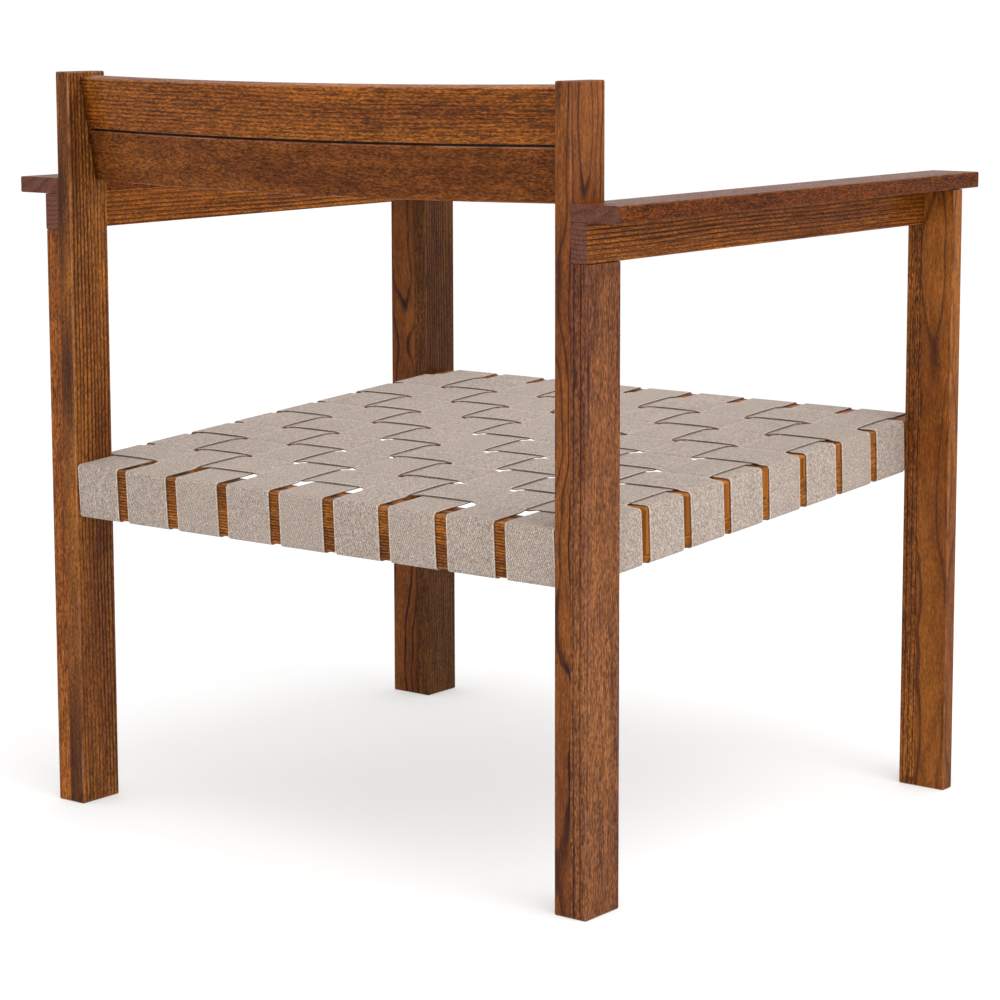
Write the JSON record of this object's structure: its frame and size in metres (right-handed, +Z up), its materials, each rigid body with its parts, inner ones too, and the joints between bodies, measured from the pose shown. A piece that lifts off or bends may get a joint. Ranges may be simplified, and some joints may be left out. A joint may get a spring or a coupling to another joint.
{
  "type": "armchair",
  "caption": "Low wooden armchair: laminated board legs, flat armrests, bowed leaning backrest slats and a plain-woven webbing seat wrapped round its rails.",
  "frame": {"origin": "on the floor, at the centre of the chair's footprint", "axes": "+Z up, -Y the way the sitter faces, +X to the sitter's left"},
  "size_m": [0.698, 0.592, 0.7],
  "materials": {
    "stained_wood": "reddish-brown walnut stain, satin, open straight and cathedral grain",
    "webbing": "matt greige woven webbing",
    "plain_dowel_wood": "unfinished turned dowel"
  },
  "bodies": {
    "root": {"rear_leg_inner_board_left": "stained_wood", "rear_leg_outer_board_left": "stained_wood", "front_leg_inner_board_left": "stained_wood", "front_leg_outer_board_left": "stained_wood", "arm_rail_left": "stained_wood", "armrest_left": "stained_wood", "rear_leg_inner_board_right": "stained_wood", "rear_leg_outer_board_right": "stained_wood", "front_leg_inner_board_right": "stained_wood", "front_leg_outer_board_right": "stained_wood", "arm_rail_right": "stained_wood", "armrest_right": "stained_wood", "backrest_slat_lower": "stained_wood", "backrest_slat_upper": "stained_wood", "seat_rail_rear": "stained_wood", "seat_rail_front": "stained_wood", "seat_rail_left": "stained_wood", "seat_rail_right": "stained_wood", "dowel_lower_slat_left_lower": "plain_dowel_wood", "dowel_upper_slat_left_lower": "plain_dowel_wood", "dowel_rear_rail_left_lower": "plain_dowel_wood", "dowel_front_leg_left_lower": "plain_dowel_wood", "dowel_lower_slat_left_upper": "plain_dowel_wood", "dowel_upper_slat_left_upper": "plain_dowel_wood", "dowel_rear_rail_left_upper": "plain_dowel_wood", "dowel_front_leg_left_upper": "plain_dowel_wood", "dowel_lower_slat_right_lower": "plain_dowel_wood", "dowel_upper_slat_right_lower": "plain_dowel_wood", "dowel_rear_rail_right_lower": "plain_dowel_wood", "dowel_front_leg_right_lower": "plain_dowel_wood", "dowel_lower_slat_right_upper": "plain_dowel_wood", "dowel_upper_slat_right_upper": "plain_dowel_wood", "dowel_rear_rail_right_upper": "plain_dowel_wood", "dowel_front_leg_right_upper": "plain_dowel_wood", "webbing_lengthwise_1": "webbing", "webbing_lengthwise_2": "webbing", "webbing_lengthwise_3": "webbing", "webbing_lengthwise_4": "webbing", "webbing_lengthwise_5": "webbing", "webbing_lengthwise_6": "webbing", "webbing_lengthwise_7": "webbing", "webbing_lengthwise_8": "webbing", "webbing_lengthwise_9": "webbing", "webbing_crosswise_1": "webbing", "webbing_crosswise_2": "webbing", "webbing_crosswise_3": "webbing", "webbing_crosswise_4": "webbing", "webbing_crosswise_5": "webbing", "webbing_crosswise_6": "webbing", "webbing_crosswise_7": "webbing", "webbing_crosswise_8": "webbing"}
  },
  "joints": []
}
